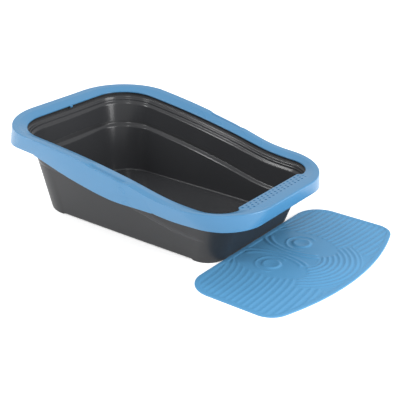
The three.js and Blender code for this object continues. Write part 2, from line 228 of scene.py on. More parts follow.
def curve_through(stations, x):
    """A smooth curve through a few stations, held level past the first and last."""
    xs, ys = np.array(stations, float).T
    slopes = np.gradient(ys, xs)
    x = np.clip(x, xs[0], xs[-1])
    k = np.clip(np.searchsorted(xs, x) - 1, 0, len(xs) - 2)
    h = xs[k + 1] - xs[k]
    t = (x - xs[k]) / h
    return ((1 + 2 * t) * (1 - t) ** 2 * ys[k] + t * (1 - t) ** 2 * h * slopes[k]
            + t * t * (3 - 2 * t) * ys[k + 1] + t * t * (t - 1) * h * slopes[k + 1])


def rounded_outline(half, front, back, radius_front, radius_back):
    """Plan points round a rounded rectangle, anticlockwise from the middle of the front.

    Every outline has the same number of points, so that the points of two outlines pair up.
    """
    quarter = np.linspace(0, math.pi / 2, CORNER_STEPS + 1)
    ends = np.linspace(0, 1, END_STEPS, endpoint=False)
    sides = np.linspace(0, 1, SIDE_STEPS + 1)[1:-1]
    front_edge = np.column_stack([ends * (half - radius_front), np.full(END_STEPS, front)])
    front_arc = np.column_stack([half - radius_front + radius_front * np.sin(quarter),
                                 front + radius_front * (1 - np.cos(quarter))])
    side_y = front + radius_front + sides * (back - radius_back - front - radius_front)
    side = np.column_stack([np.full(len(sides), half), side_y])
    back_arc = np.column_stack([half - radius_back * (1 - np.cos(quarter)),
                                back - radius_back * (1 - np.sin(quarter))])
    back_edge = np.column_stack([(1 - ends[1:]) * (half - radius_back), np.full(END_STEPS - 1, back)])
    middle = np.array([[0.0, back]])
    right = np.vstack([front_edge, front_arc, side, back_arc, back_edge, middle])
    left = right[1:-1][::-1] * [-1, 1]
    return np.vstack([right, left])


def step_from(start, goal, distance):
    """Plan points a distance from one outline towards another."""
    way = goal - start
    size = np.linalg.norm(way, axis=1, keepdims=True)
    return start + way / size * np.reshape(distance, (-1, 1))


def ring(plan, height):
    """One loop of 3D points from plan points and a height."""
    return np.column_stack([plan, np.broadcast_to(height, len(plan))])


def rounded_section(corners, closed):
    """Rounds each corner of a section at every station. A corner is a ring and its rounding size."""
    count = len(corners)
    rows = []
    for k, (here, size) in enumerate(corners):
        inside = closed or 0 < k < count - 1
        if not inside or np.max(size) <= 0:
            rows.append(here)
            continue
        before = corners[k - 1][0] - here
        after = corners[(k + 1) % count][0] - here
        before_size = np.linalg.norm(before, axis=1, keepdims=True)
        after_size = np.linalg.norm(after, axis=1, keepdims=True)
        reach = np.minimum(size, 0.48 * np.minimum(before_size, after_size))
        first = here + before / before_size * reach
        last = here + after / after_size * reach
        for t in np.linspace(0, 1, ROUND_STEPS + 1):
            rows.append((1 - t) ** 2 * first + 2 * t * (1 - t) * here + t * t * last)
    return rows


def mesh_object(name, points, faces, material):
    """A smooth mesh object from points in millimetres, in the set's own frame."""
    mesh = bpy.data.meshes.new(name)
    mesh.from_pydata((points * MM).tolist(), [], faces)
    mesh.polygons.foreach_set("use_smooth", [True] * len(mesh.polygons))
    mesh.materials.append(material)
    mesh.update()
    piece = bpy.data.objects.new(name, mesh)
    bpy.context.collection.objects.link(piece)
    return piece


def loft_object(name, rows, closed, material):
    """A smooth mesh object from rings of points in millimetres, in the set's own frame."""
    count = len(rows[0])
    loops = len(rows) if closed else len(rows) - 1
    here = np.arange(count)
    after = np.roll(here, -1)
    faces = []
    for r in range(loops):
        low = r * count
        high = ((r + 1) % len(rows)) * count
        faces += np.column_stack([low + here, low + after, high + after, high + here]).tolist()
    if not closed:
        faces.append(here[::-1].tolist())
        faces.append((here + (len(rows) - 1) * count).tolist())
    return mesh_object(name, np.vstack(rows), faces, material)


def sharpen(piece, degrees):
    """Keeps edges crisp where the surface turns by more than an angle."""
    limit = math.radians(degrees)
    work = bmesh.new()
    work.from_mesh(piece.data)
    for edge in work.edges:
        edge.smooth = not (len(edge.link_faces) == 2 and edge.calc_face_angle(0) > limit)
    work.to_mesh(piece.data)
    work.free()


def combine(piece, tool, operation):
    """Cuts or joins a solid into a piece, and removes the solid."""
    change = piece.modifiers.new(operation.title(), "BOOLEAN")
    change.operation = operation
    change.solver = "EXACT"
    change.object = tool
    evaluated = piece.evaluated_get(bpy.context.evaluated_depsgraph_get())
    mesh = bpy.data.meshes.new_from_object(evaluated)
    piece.modifiers.clear()
    piece.data = mesh
    bpy.data.objects.remove(tool, do_unlink=True)


class Plan:
    """The outlines that the tray and the rim share, in millimetres in the set's own frame."""

    def __init__(self, rim, tray):
        half_length = rim.opening_length / MM / 2
        half_width = rim.opening_width / MM / 2
        brim_back = rim.brim_back / MM
        self.half_length = half_length
        self.place = np.array([(RIM_LOW[0] + RIM_HIGH[0]) / 2, RIM_HIGH[1] - half_length - brim_back])
        self.base_half = half_width - tray.base_in_side / MM
        self.base_front = -half_length + tray.base_in_front / MM
        self.base_back = half_length - tray.base_in_back / MM
        front, back = -half_length, half_length

        def tapered(points):
            widening = 1 + OPENING_TAPER * points[:, 1] / half_length
            return points * np.column_stack([widening, np.ones(len(points))])

        self.lip = tapered(rounded_outline(
            half_width, front, back, rim.radius_front / MM, rim.radius_back / MM))
        brim = tapered(rounded_outline(
            half_width + rim.brim_side / MM, front - rim.brim_front / MM, back + brim_back,
            rim.brim_radius_front / MM, rim.brim_radius_back / MM))
        hem = tapered(rounded_outline(
            half_width + rim.hem_side / MM, front - rim.hem_front / MM, back + rim.hem_back / MM,
            rim.hem_radius_front / MM, rim.hem_radius_back / MM))
        self.base = rounded_outline(
            self.base_half, self.base_front, self.base_back,
            tray.base_radius_front / MM, tray.base_radius_back / MM)
        bow = 1 - (self.base[:, 1] / half_length) ** 2
        bow *= (self.base[:, 0] / self.base_half) ** 3
        self.base[:, 0] += bow * tray.base_bow / MM
        swell = smooth(brim[:, 1], *SWELL_IN) * (1 - smooth(brim[:, 1], SWELL_OUT_FROM, back + brim_back))
        swell *= np.clip(np.abs(brim[:, 0]) / half_width, 0, 1) ** 3
        brim[:, 0] += np.sign(brim[:, 0]) * swell * rim.brim_swell / MM
        self.brim = brim
        self.hem = hem
        self.lip_height = self.climb(self.lip[:, 1], tray)
        dip = smooth(brim[:, 1], *PAD_IN) * (1 - smooth(brim[:, 1], *PAD_OUT))
        side = smooth(np.abs(brim[:, 0]), half_width * 0.8, half_width)
        self.pad = dip * side
        rise = rim.rise_front + (rim.rise_back - rim.rise_front) * smooth(self.lip[:, 1], *RISE_SPAN)
        self.brim_height = self.lip_height + (rise - rim.pad_drop * self.pad) / MM
        self.hem_height = self.climb(hem[:, 1], tray) - self.skirt_depth(hem[:, 1])

    def climb(self, y, tray):
        """Height of the lip's curve at a place along the tray."""
        share = curve_through(CLIMB, y / self.half_length)
        return (tray.lip_front + (tray.lip_back - tray.lip_front) * share) / MM

    def skirt_depth(self, y):
        """How far the skirt hangs below the lip's curve at a place along the tray."""
        s = y / self.half_length
        front = curve_through(HEM_FRONT, s)
        belly = curve_through(HEM_BELLY, s)
        back = curve_through(HEM_BACK, s)
        return np.where(s < HEM_BELLY[0][0], front, np.where(s < HEM_BELLY[-1][0], belly, back))

    def placed(self, rows):
        """Moves rings from the tray's middle to its place in the set."""
        shift = np.array([self.place[0], self.place[1], 0])
        return [row + shift for row in rows]


# ---------------------------------------------------------------- materials

def new_group(name, inputs, outputs):
    """An empty shader node group. Inputs give a type and a default, outputs only a type."""
    group = bpy.data.node_groups.new(name, "ShaderNodeTree")
    for label, (kind, default) in inputs.items():
        socket = group.interface.new_socket(name=label, in_out="INPUT", socket_type=kind)
        socket.default_value = default
    for label, kind in outputs.items():
        group.interface.new_socket(name=label, in_out="OUTPUT", socket_type=kind)
    return group, group.nodes.new("NodeGroupInput"), group.nodes.new("NodeGroupOutput")


def math_node(tree, operation, *values):
    """A math node whose inputs are numbers or other nodes' outputs. Returns its output."""
    node = tree.nodes.new("ShaderNodeMath")
    node.operation = operation
    for socket, value in zip(node.inputs, values):
        if isinstance(value, (int, float)):
            socket.default_value = value
        else:
            tree.links.new(value, socket)
    return node.outputs[0]


def moulded_grain():
    """The fine spark-eroded grain of a mould: a height and a roughness that changes a little."""
    group, inlet, outlet = new_group(
        "Moulded grain",
        {"Grain size": ("NodeSocketFloat", 900.0), "Cloudiness": ("NodeSocketFloat", 9.0),
         "Roughness": ("NodeSocketFloat", 0.4), "Spread": ("NodeSocketFloat", 0.08)},
        {"Height": "NodeSocketFloat", "Roughness": "NodeSocketFloat"})
    nodes, links = group.nodes, group.links
    place = nodes.new("ShaderNodeTexCoord")
    grain = nodes.new("ShaderNodeTexNoise")
    grain.inputs["Detail"].default_value = 3.0
    cloud = nodes.new("ShaderNodeTexNoise")
    cloud.inputs["Detail"].default_value = 2.0
    spread = nodes.new("ShaderNodeMapRange")
    spread.interpolation_type = "SMOOTHERSTEP"
    spread.inputs["From Min"].default_value = 0.2
    spread.inputs["From Max"].default_value = 0.8
    low = math_node(group, "SUBTRACT", inlet.outputs["Roughness"], inlet.outputs["Spread"])
    high = math_node(group, "ADD", inlet.outputs["Roughness"], inlet.outputs["Spread"])
    links.new(place.outputs["Object"], grain.inputs["Vector"])
    links.new(place.outputs["Object"], cloud.inputs["Vector"])
    links.new(inlet.outputs["Grain size"], grain.inputs["Scale"])
    links.new(inlet.outputs["Cloudiness"], cloud.inputs["Scale"])
    links.new(cloud.outputs["Fac"], spread.inputs["Value"])
    links.new(low, spread.inputs["To Min"])
    links.new(high, spread.inputs["To Max"])
    links.new(grain.outputs["Fac"], outlet.inputs["Height"])
    links.new(spread.outputs["Result"], outlet.inputs["Roughness"])
    return group


def tone_drift():
    """Lets a colour drift a little lighter and darker, as pigment does in a large moulding."""
    group, inlet, outlet = new_group(
        "Tone drift",
        {"Colour": ("NodeSocketColor", (0.5, 0.5, 0.5, 1.0)), "Amount": ("NodeSocketFloat", 0.05),
         "Scale": ("NodeSocketFloat", 5.0)},
        {"Colour": "NodeSocketColor"})
    nodes, links = group.nodes, group.links
    place = nodes.new("ShaderNodeTexCoord")
    drift = nodes.new("ShaderNodeTexNoise")
    drift.inputs["Detail"].default_value = 3.0
    centred = math_node(group, "SUBTRACT", drift.outputs["Fac"], 0.5)
    change = math_node(group, "MULTIPLY", centred, inlet.outputs["Amount"])
    tint = nodes.new("ShaderNodeHueSaturation")
    links.new(place.outputs["Object"], drift.inputs["Vector"])
    links.new(inlet.outputs["Scale"], drift.inputs["Scale"])
    links.new(inlet.outputs["Colour"], tint.inputs["Color"])
    links.new(math_node(group, "ADD", change, 1.0), tint.inputs["Value"])
    links.new(tint.outputs["Color"], outlet.inputs["Colour"])
    return group


def shared_group(name, maker):
    return bpy.data.node_groups.get(name) or maker()


def plastic(name, colour, roughness, spread, drift, grain_depth, specular):
    """A moulded plastic with drifting tone, uneven sheen and a fine grain.

    Returns the material, its shader, and the nodes that give its sheen and its tone.
    """
    material = bpy.data.materials.new(name)
    material.use_nodes = True
    nodes, links = material.node_tree.nodes, material.node_tree.links
    shader = nodes["Principled BSDF"]
    shader.inputs["IOR"].default_value = 1.49
    shader.inputs["Specular IOR Level"].default_value = specular
    tone = nodes.new("ShaderNodeGroup")
    tone.node_tree = shared_group("Tone drift", tone_drift)
    tone.inputs["Colour"].default_value = (*colour, 1.0)
    tone.inputs["Amount"].default_value = drift
    surface = nodes.new("ShaderNodeGroup")
    surface.node_tree = shared_group("Moulded grain", moulded_grain)
    surface.inputs["Roughness"].default_value = roughness
    surface.inputs["Spread"].default_value = spread
    bump = nodes.new("ShaderNodeBump")
    bump.inputs["Strength"].default_value = 0.25
    bump.inputs["Distance"].default_value = grain_depth * MM
    links.new(tone.outputs["Colour"], shader.inputs["Base Color"])
    links.new(surface.outputs["Roughness"], shader.inputs["Roughness"])
    links.new(surface.outputs["Height"], bump.inputs["Height"])
    links.new(bump.outputs["Normal"], shader.inputs["Normal"])
    return material, shader, surface, tone


def rim_plastic(looks):
    return plastic(
        "rim_plastic", looks.rim_colour, roughness=0.29, spread=0.03, drift=0.06,
        grain_depth=0.05, specular=0.5)[0]


def mat_plastic(looks):
    return plastic(
        "mat_plastic", looks.mat_colour, roughness=0.40, spread=0.03, drift=0.08,
        grain_depth=0.05, specular=0.2)[0]


def tray_plastic(looks):
    """Satin outside and glossier inside, with painted light that makes the inside a little paler: the piece's
    own attribute tells them apart.
    """
    material, shader, surface, tone = plastic(
        "tray_plastic", looks.tray_colour, roughness=0.42, spread=0.03, drift=0.12,
        grain_depth=0.06, specular=0.37)
    tree = material.node_tree
    nodes, links = tree.nodes, tree.links
    side = nodes.new("ShaderNodeAttribute")
    side.attribute_name = "inside"
    gloss = math_node(tree, "MULTIPLY_ADD", side.outputs["Fac"], -0.20, surface.outputs["Roughness"])
    # Painted light: the same plastic is coloured paler inside, standing in for the light that falls into the
    # open tray.
    painted_inner_light = math_node(tree, "MULTIPLY_ADD", side.outputs["Fac"], 0.45, 1.0)
    tint = nodes.new("ShaderNodeHueSaturation")
    links.new(gloss, shader.inputs["Roughness"])
    links.new(painted_inner_light, tint.inputs["Value"])
    links.new(tone.outputs["Colour"], tint.inputs["Color"])
    links.new(tint.outputs["Color"], shader.inputs["Base Color"])
    return material


# ---------------------------------------------------------------- rim frame

def pad_grooves(plan, crown, crown_z):
    """Fine grooves along the outer half of the top face. They fade out beyond the grip pads."""
    grooves = []
    for share in GROOVES:
        for offset, depth in ((GROOVE_HALF, 0.0), (0.0, GROOVE_DEPTH), (-GROOVE_HALF, 0.0)):
            way = share + offset
            spot = crown + (plan.brim - crown) * way
            height = crown_z + (plan.brim_height - crown_z) * way
            grooves.append((ring(spot, height - depth * plan.pad), 0))
    return grooves


def rim_rows(plan, rim):
    """The closed section of the rim channel: lip, top face, skirt, hem, and back inside."""
    wall = rim.wall / MM
    corner_end = -plan.half_length + rim.radius_front / MM
    on_front = (plan.lip[:, 1] < corner_end).astype(float)
    reach = on_front * rim.tongue / MM * (1 - smooth(np.abs(plan.lip[:, 0]), *TONGUE_END))
    edge = plan.lip + np.column_stack([np.zeros(len(reach)), reach])
    lip_z, brim_z, hem_z = plan.lip_height, plan.brim_height, plan.hem_height
    front_share = smooth(-plan.brim[:, 1] - plan.half_length, *SHOULDER_SPAN)
    shoulder = (SHOULDER + SHOULDER_FRONT * front_share)[:, None]
    crown = edge + (plan.brim - edge) * CROWN_OUT
    crown_z = lip_z + (brim_z - lip_z) * CROWN_UP + CROWN_EXTRA
    corners = [
        (ring(edge, lip_z - LIP_DEPTH), 0.6),
        (ring(step_from(edge, plan.brim, wall), lip_z - LIP_DEPTH), 0.6),
        (ring(step_from(edge, plan.brim, wall), lip_z - wall), 1.0),
        (ring(crown, crown_z - wall), 6.0),
        (ring(step_from(plan.brim, plan.lip, wall), brim_z - wall), 2.5),
        (ring(step_from(plan.hem, plan.lip, wall), hem_z), 0.5),
        (ring(plan.hem, hem_z), 0.9),
        (ring(plan.brim, brim_z), shoulder),
        *pad_grooves(plan, crown, crown_z),
        (ring(crown, crown_z), 8.0),
        (ring(edge, lip_z), 1.6),
    ]
    return rounded_section(corners, closed=True)


def dimple_tree():
    """A Geometry Nodes tree: staggered rows of small tapered pegs, ready to be cut out of a face."""
    tree = bpy.data.node_groups.new("Grip dimples", "GeometryNodeTree")
    kinds = [("Columns", "NodeSocketInt", 16), ("Rows", "NodeSocketInt", 3),
             ("Pitch", "NodeSocketFloat", 0.0126), ("Row gap", "NodeSocketFloat", 0.008),
             ("Radius", "NodeSocketFloat", 0.002), ("Depth", "NodeSocketFloat", 0.0014),
             ("Slope", "NodeSocketFloat", 0.0), ("Origin", "NodeSocketVector", (0, 0, 0)),
             ("Material", "NodeSocketMaterial", None)]
    for label, kind, default in kinds:
        socket = tree.interface.new_socket(name=label, in_out="INPUT", socket_type=kind)
        if default is not None:
            socket.default_value = default
    tree.interface.new_socket(name="Geometry", in_out="OUTPUT", socket_type="NodeSocketGeometry")
    nodes, links = tree.nodes, tree.links
    inlet = nodes.new("NodeGroupInput").outputs
    outlet = nodes.new("NodeGroupOutput")

    def calc(operation, *values):
        return math_node(tree, operation, *values)

    index = nodes.new("GeometryNodeInputIndex").outputs[0]
    total = calc("MULTIPLY", inlet["Columns"], inlet["Rows"])
    column = calc("MODULO", index, inlet["Columns"])
    row = calc("FLOOR", calc("DIVIDE", calc("ADD", index, 0.5), inlet["Columns"]))
    stagger = calc("MULTIPLY", calc("MODULO", row, 2.0), 0.5)
    middle = calc("MULTIPLY", calc("SUBTRACT", inlet["Columns"], 0.5), 0.5)
    along = calc("SUBTRACT", calc("ADD", column, stagger), middle)
    x = calc("MULTIPLY", along, inlet["Pitch"])
    y = calc("MULTIPLY", row, calc("MULTIPLY", inlet["Row gap"], -1.0))
    z = calc("MULTIPLY", y, calc("MULTIPLY", inlet["Slope"], -1.0))
    place = nodes.new("ShaderNodeCombineXYZ")
    for socket, value in zip(place.inputs, (x, y, z)):
        links.new(value, socket)
    spot = nodes.new("ShaderNodeVectorMath")
    spot.operation = "ADD"
    links.new(place.outputs[0], spot.inputs[0])
    links.new(inlet["Origin"], spot.inputs[1])
    points = nodes.new("GeometryNodePoints")
    links.new(total, points.inputs["Count"])
    links.new(spot.outputs[0], points.inputs["Position"])
    peg = nodes.new("GeometryNodeMeshCone")
    peg.inputs["Vertices"].default_value = 18
    links.new(inlet["Radius"], peg.inputs["Radius Top"])
    links.new(calc("MULTIPLY", inlet["Radius"], 0.85), peg.inputs["Radius Bottom"])
    links.new(calc("MULTIPLY", inlet["Depth"], 2.0), peg.inputs["Depth"])
    sink = nodes.new("GeometryNodeTransform")
    drop = nodes.new("ShaderNodeCombineXYZ")
    links.new(calc("MULTIPLY", inlet["Depth"], -1.0), drop.inputs[2])
    links.new(peg.outputs["Mesh"], sink.inputs["Geometry"])
    links.new(drop.outputs[0], sink.inputs["Translation"])
    copies = nodes.new("GeometryNodeInstanceOnPoints")
    links.new(points.outputs[0], copies.inputs["Points"])
    links.new(sink.outputs[0], copies.inputs["Instance"])
    real = nodes.new("GeometryNodeRealizeInstances")
    links.new(copies.outputs[0], real.inputs[0])
    coat = nodes.new("GeometryNodeSetMaterial")
    links.new(real.outputs[0], coat.inputs["Geometry"])
    links.new(inlet["Material"], coat.inputs["Material"])
    links.new(coat.outputs[0], outlet.inputs[0])
    return tree


def made_by_nodes(name, tree, values):
    """Runs a Geometry Nodes tree once and returns its result as a plain mesh object."""
    piece = bpy.data.objects.new(name, bpy.data.meshes.new(name))
    bpy.context.collection.objects.link(piece)
    maker = piece.modifiers.new(tree.name, "NODES")
    maker.node_group = tree
    for item in tree.interface.items_tree:
        if item.item_type == "SOCKET" and item.in_out == "INPUT":
            maker[item.identifier] = values[item.name]
    evaluated = piece.evaluated_get(bpy.context.evaluated_depsgraph_get())
    mesh = bpy.data.meshes.new_from_object(evaluated)
    piece.modifiers.clear()
    piece.data = mesh
    return piece


def cut_dimples(piece, plan, rim, material):
    """Cuts the grip dimples into the top face at the low entry end."""
    front = -plan.half_length + rim.tongue / MM
    width = (rim.brim_front + rim.tongue) / MM
    slope = (rim.rise_front / MM * CROWN_UP + CROWN_EXTRA) / (width * CROWN_OUT)
    z = plan.lip_height.min() + slope * DIMPLE_START
    origin = np.array([plan.place[0], plan.place[1] + front - DIMPLE_START, z]) * MM
    pegs = made_by_nodes("grip_dimples", dimple_tree(), {
        "Columns": rim.dimple_columns, "Rows": rim.dimple_rows, "Pitch": rim.dimple_pitch,
        "Row gap": rim.dimple_gap, "Radius": rim.dimple_radius, "Depth": rim.dimple_depth,
        "Slope": slope, "Origin": origin.tolist(), "Material": material})
    combine(piece, pegs, "DIFFERENCE")


def rounded_block(name, low, high, rounding, material):
    """A small block with rounded edges between two corners, in millimetres."""
    work = bmesh.new()
    bmesh.ops.create_cube(work, size=1.0)
    low, high = np.array(low) * MM, np.array(high) * MM
    for v in work.verts:
        v.co = Vector(((low + high) / 2 + np.array(v.co) * (high - low)).tolist())
    bmesh.ops.bevel(work, geom=work.edges[:], offset=rounding * MM, segments=3, affect="EDGES", profile=0.5)
    mesh = bpy.data.meshes.new(name)
    work.to_mesh(mesh)
    work.free()
    mesh.materials.append(material)
    block = bpy.data.objects.new(name, mesh)
    bpy.context.collection.objects.link(block)
    return block


def add_catch(piece, plan, tray, material):
    """Joins the small catch to the back lip."""
    x, back = plan.place[0], plan.half_length + plan.place[1]
    top = tray.lip_back / MM - CATCH_DROP
    catch = rounded_block(
        "catch", (x - CATCH_HALF, back - CATCH_IN, top - CATCH_TALL),
        (x + CATCH_HALF, back + CATCH_OUT, top), CATCH_ROUND, material)
    combine(piece, catch, "UNION")


class BuildRimFrame(bpy.types.Operator):
    """Build the blue frame that fits over the tray's edge"""
    bl_idname = "litter_tray.build_rim_frame"
    bl_label = "Rim frame"

    def execute(self, context):
        settings = context.scene.litter_tray
        rim = settings.rim
        plan = Plan(rim, settings.tray)
        material = rim_plastic(settings.looks)
        piece = loft_object("rim_moulding", plan.placed(rim_rows(plan, rim)), True, material)
        cut_dimples(piece, plan, rim, material)
        add_catch(piece, plan, settings.tray, material)
        sharpen(piece, 40)
        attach(piece, "rim_frame")
        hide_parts("rim_frame")
        return {"FINISHED"}


# ---------------------------------------------------------------- tray

def foot_heights(plan, tray):
    """Height of the underside round the base: 0 at the feet, and the feet's height between them."""
    base = plan.base
    front_foot = 1 - smooth(base[:, 1] - plan.base_front, *FRONT_FOOT_END)
    back_foot = 1 - smooth(plan.base_back - base[:, 1], *BACK_FOOT_END)
    across = 1 - smooth(plan.base_half - np.abs(base[:, 0]), *FOOT_SIDE_END)
    return tray.foot_height / MM * (1 - np.maximum(front_foot, back_foot * across))


def flange_edge(plan, tray, channel):
    """The flange's outer edge, the same a wall further in, and its height under the rim."""
    lip, lip_z, wall, width = plan.lip, plan.lip_height, tray.wall / MM, tray.flange / MM
    edge = step_from(lip, plan.brim, width)
    share = (width - wall) / (np.linalg.norm(plan.brim - lip, axis=1) / 2 - wall)
    height = lip_z + (plan.brim_height - lip_z) * FLANGE_CLIMB * share - channel
    return edge, step_from(edge, lip, wall), height


def tray_rows(plan, tray, rim):
    """The tray's open section: from its underside up the outside, over the flange and down the inside.

    Also says which ring is the first of the inside.
    """
    wall = tray.wall / MM
    foot = tray.foot_height / MM
    floor_top = foot + wall
    lip, brim, base, lip_z = plan.lip, plan.brim, plan.base, plan.lip_height
    upper, lower = tray.upper_ledge / MM, tray.lower_ledge / MM
    upper_drop, lower_drop = tray.upper_drop / MM, tray.lower_drop / MM
    run = np.linalg.norm(lip - base, axis=1)
    slope = (run + wall - upper - lower - BAND_IN) / (lip_z - floor_top - upper_drop - 2 * LEDGE_FALL)
    upper_in = BAND_IN + upper
    lower_in = upper_in + slope * (lower_drop - upper_drop - LEDGE_FALL)
    channel = rim.wall / MM + FIT_GAP

    def inner(distance, drop):
        """A ring of the wall: a distance in from the lip's line, or out when it is negative."""
        distance = np.broadcast_to(distance, len(lip))
        plan_points = np.where(distance[:, None] >= 0, step_from(lip, base, distance),
                               step_from(lip, brim, -distance))
        return ring(plan_points, lip_z - drop)

    def under(distance, height):
        """A ring of the underside or the floor, a distance in from the base's outline."""
        return ring(step_from(base, lip, -np.broadcast_to(distance, len(base))), height)

    foot_z = foot_heights(plan, tray)
    flange, flange_in, flange_z = flange_edge(plan, tray, channel)
    outer_corners = [
        (under(24, foot), 0),
        (under(16, foot), 0.8),
        (under(14, foot_z), 0.8),
        (under(1.0, foot_z), 1.6),
        (ring(base, foot_z + 3), 1.6),
        (inner(lower_in + lower / 2 - wall, lower_drop + LEDGE_FALL / 2 + wall), 40.0),
        (inner(upper_in - wall, upper_drop + LEDGE_FALL + wall), 2.0),
        (inner(BAND_IN - wall, upper_drop + wall), 2.0),
        (inner(1 - wall, 8 + wall), 2.0),
        (inner(-GUTTER - wall, channel + wall + 1), 0.6),
        (ring(flange_in, flange_z - wall), 0.6),
        (ring(flange_in, flange_z - FLANGE_EDGE), 0.4),
        (ring(flange, flange_z - FLANGE_EDGE), 0.4),
        (ring(flange, flange_z), 1.0),
    ]
    inner_corners = [
        (inner(-GUTTER, channel + 0.2), 0.6),
        (inner(-GUTTER, 8.5), 1.2),
        (inner(0.8, 11.0), 2.0),
        (inner(2.4, 16.2), 0.8),
        (inner(BAND_IN, 17.2), 0.8),
        (inner(BAND_IN + 0.2, upper_drop), 1.6),
        (inner(upper_in, upper_drop + LEDGE_FALL), 2.4),
        (inner(lower_in, lower_drop), 3.0),
        (inner(lower_in + lower, lower_drop + LEDGE_FALL), 3.0),
        (under(wall, floor_top + 6), 0),
        (under(wall + 0.6, floor_top), 7.0),
        (under(wall + 26, floor_top), 0),
    ]
    rows = rounded_section(outer_corners + inner_corners, closed=False)
    first_inside = sum(ROUND_STEPS + 1 if size > 0 else 1 for _, size in outer_corners)
    return rows, first_inside


class BuildTray(bpy.types.Operator):
    """Build the dark tray with its ledges, flange and feet"""
    bl_idname = "litter_tray.build_tray"
    bl_label = "Tray"

    def execute(self, context):
        settings = context.scene.litter_tray
        plan = Plan(settings.rim, settings.tray)
        material = tray_plastic(settings.looks)
        rows, first_inside = tray_rows(plan, settings.tray, settings.rim)
        piece = loft_object("tray_moulding", plan.placed(rows), False, material)
        # The inside attribute makes the inside glossier, and also carries the painted light that colours it
        # paler.
        inside = piece.data.attributes.new("inside", "FLOAT", "POINT")
        values = np.zeros(len(piece.data.vertices))
        values[first_inside * len(rows[0]):] = 1.0
        inside.data.foreach_set("value", values)
        sharpen(piece, 50)
        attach(piece, "tray")
        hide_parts("tray")
        return {"FINISHED"}


# ---------------------------------------------------------------- relief mat

class MatPlan:
    """The mat's outline: x from its middle, and v from its back edge towards the front."""

    def __init__(self, mat):
        self.half = (MAT_HIGH[0] - MAT_LOW[0]) / 2
        self.depth = MAT_HIGH[1] - MAT_LOW[1]
        self.bow = mat.bow / MM
        self.back_radius = mat.radius_back / MM
        self.front_radius = mat.radius_front / MM
        self.bow_radius = (self.half ** 2 + self.bow ** 2) / (2 * self.bow)
        self.bow_centre = self.depth - self.bow_radius
        self.corner_x = self.half - self.front_radius
        reach = math.sqrt((self.bow_radius - self.front_radius) ** 2 - self.corner_x ** 2)
        self.corner_v = self.bow_centre + reach

    def back_edge(self, x, inset):
        """Where the outline starts beside the tray at each x, drawn in by an inset."""
        past = np.clip(np.abs(x) - (self.half - self.back_radius), 0, self.back_radius - inset)
        return self.back_radius - np.sqrt(np.maximum((self.back_radius - inset) ** 2 - past ** 2, 0))

    def front_edge(self, x, inset):
        """Where the outline ends at the front at each x, drawn in by an inset."""
        size = np.abs(x)
        bow = self.bow_centre + np.sqrt((self.bow_radius - inset) ** 2 - size ** 2)
        past = np.clip(size - self.corner_x, 0, self.front_radius - inset)
        corner = self.corner_v + np.sqrt(np.maximum((self.front_radius - inset) ** 2 - past ** 2, 0))
        join = self.corner_x * (self.bow_radius - inset) / (self.bow_radius - self.front_radius)
        return np.where(size < join, bow, corner)


def ripple(distance, pitch, sharpness):
    """Evenly spaced rounded ridges, from 0 in the furrows to 1 on the crests."""
    wave = 0.5 + 0.5 * np.cos(2 * math.pi * distance / pitch)
    return wave ** sharpness


def crest(distance, width):
    """One rounded ridge round a line at distance 0."""
    return np.exp(-(distance / width) ** 2)


def side_ripples(side, v, pitch):
    """Level ripples, lifted towards the bosses beside the tray and a little towards the front."""
    lift = 46 * np.exp(-np.clip(side - 62, 0, None) / 34) * np.exp(-((v - 30) / 95) ** 2)
    lift += 16 * np.exp(-np.clip(side - 50, 0, None) / 60) * smooth(v, 90, 150)
    beside = smooth(side - 0.25 * np.clip(v - 60, 0, None), 42, 52)
    return ripple(v + lift, pitch, 1.6) * beside


def oval_ridges(x, v, boss_x, boss_v):
    """Two ridges round each boss, on the side towards the mat's middle."""
    ridges = 0.0
    for sign in (-1, 1):
        shape = np.hypot((x - sign * boss_x) / OVAL_WIDE, (v - boss_v) / OVAL_LONG)
        inner_side = smooth(-sign * (x - sign * boss_x), 4, 14)
        ends = 1 - smooth(v, boss_v + 52, boss_v + 68)
        for size in (1.0, 1.24):
            ridges = np.maximum(ridges, crest((shape - size) * OVAL_WIDE, 2.6) * inner_side * ends)
    return ridges


def boss_shape(near, behind):
    """A dished dome with a rim, and part of a ring round it. Near is the distance from the boss."""
    ring_out = 0.8 * crest(near - 30, 2.4) * (1 - smooth(behind, 8, 18))
    dome = 1.1 * (1 - smooth(near, 14, 20)) + 0.5 * crest(near - 17, 2.6) - 0.5 * (1 - smooth(near, 4, 14))
    return np.maximum(1.2 * ring_out, 1.3 * dome)


def relief(x, v, mat):
    """Height of the mat's raked pattern, as a share of the ridge height.

    Two round bosses stand in oval furrows. Level ripples fill both sides and rise towards the
    bosses, and arcs round a point behind the middle fill the front.
    """
    boss_x, boss_v = mat.boss_spacing / MM / 2, mat.boss_back / MM
    side = np.abs(x)
    oval = np.hypot((side - boss_x) / OVAL_WIDE, (v - boss_v) / OVAL_LONG)
    outside = smooth(oval, 1.1, 1.2)
    arc = np.hypot(x, v - ARC_CENTRE)
    facing = np.degrees(np.arctan2(v - ARC_CENTRE, side))
    in_arcs = smooth(facing, 24, 30) * smooth(arc, *ARC_START) * (1 - smooth(arc, *ARC_END))
    ripples = side_ripples(side, v, mat.pitch / MM) * outside * (1 - in_arcs)
    arcs = ripple(arc, ARC_PITCH, 1.3) * in_arcs * outside
    ovals = oval_ridges(x, v, boss_x, boss_v) * (1 - in_arcs)
    bosses = boss_shape(np.hypot(side - boss_x, v - boss_v), v - boss_v)
    return np.maximum.reduce([0.7 * ripples, arcs, 1.3 * ovals, bosses])


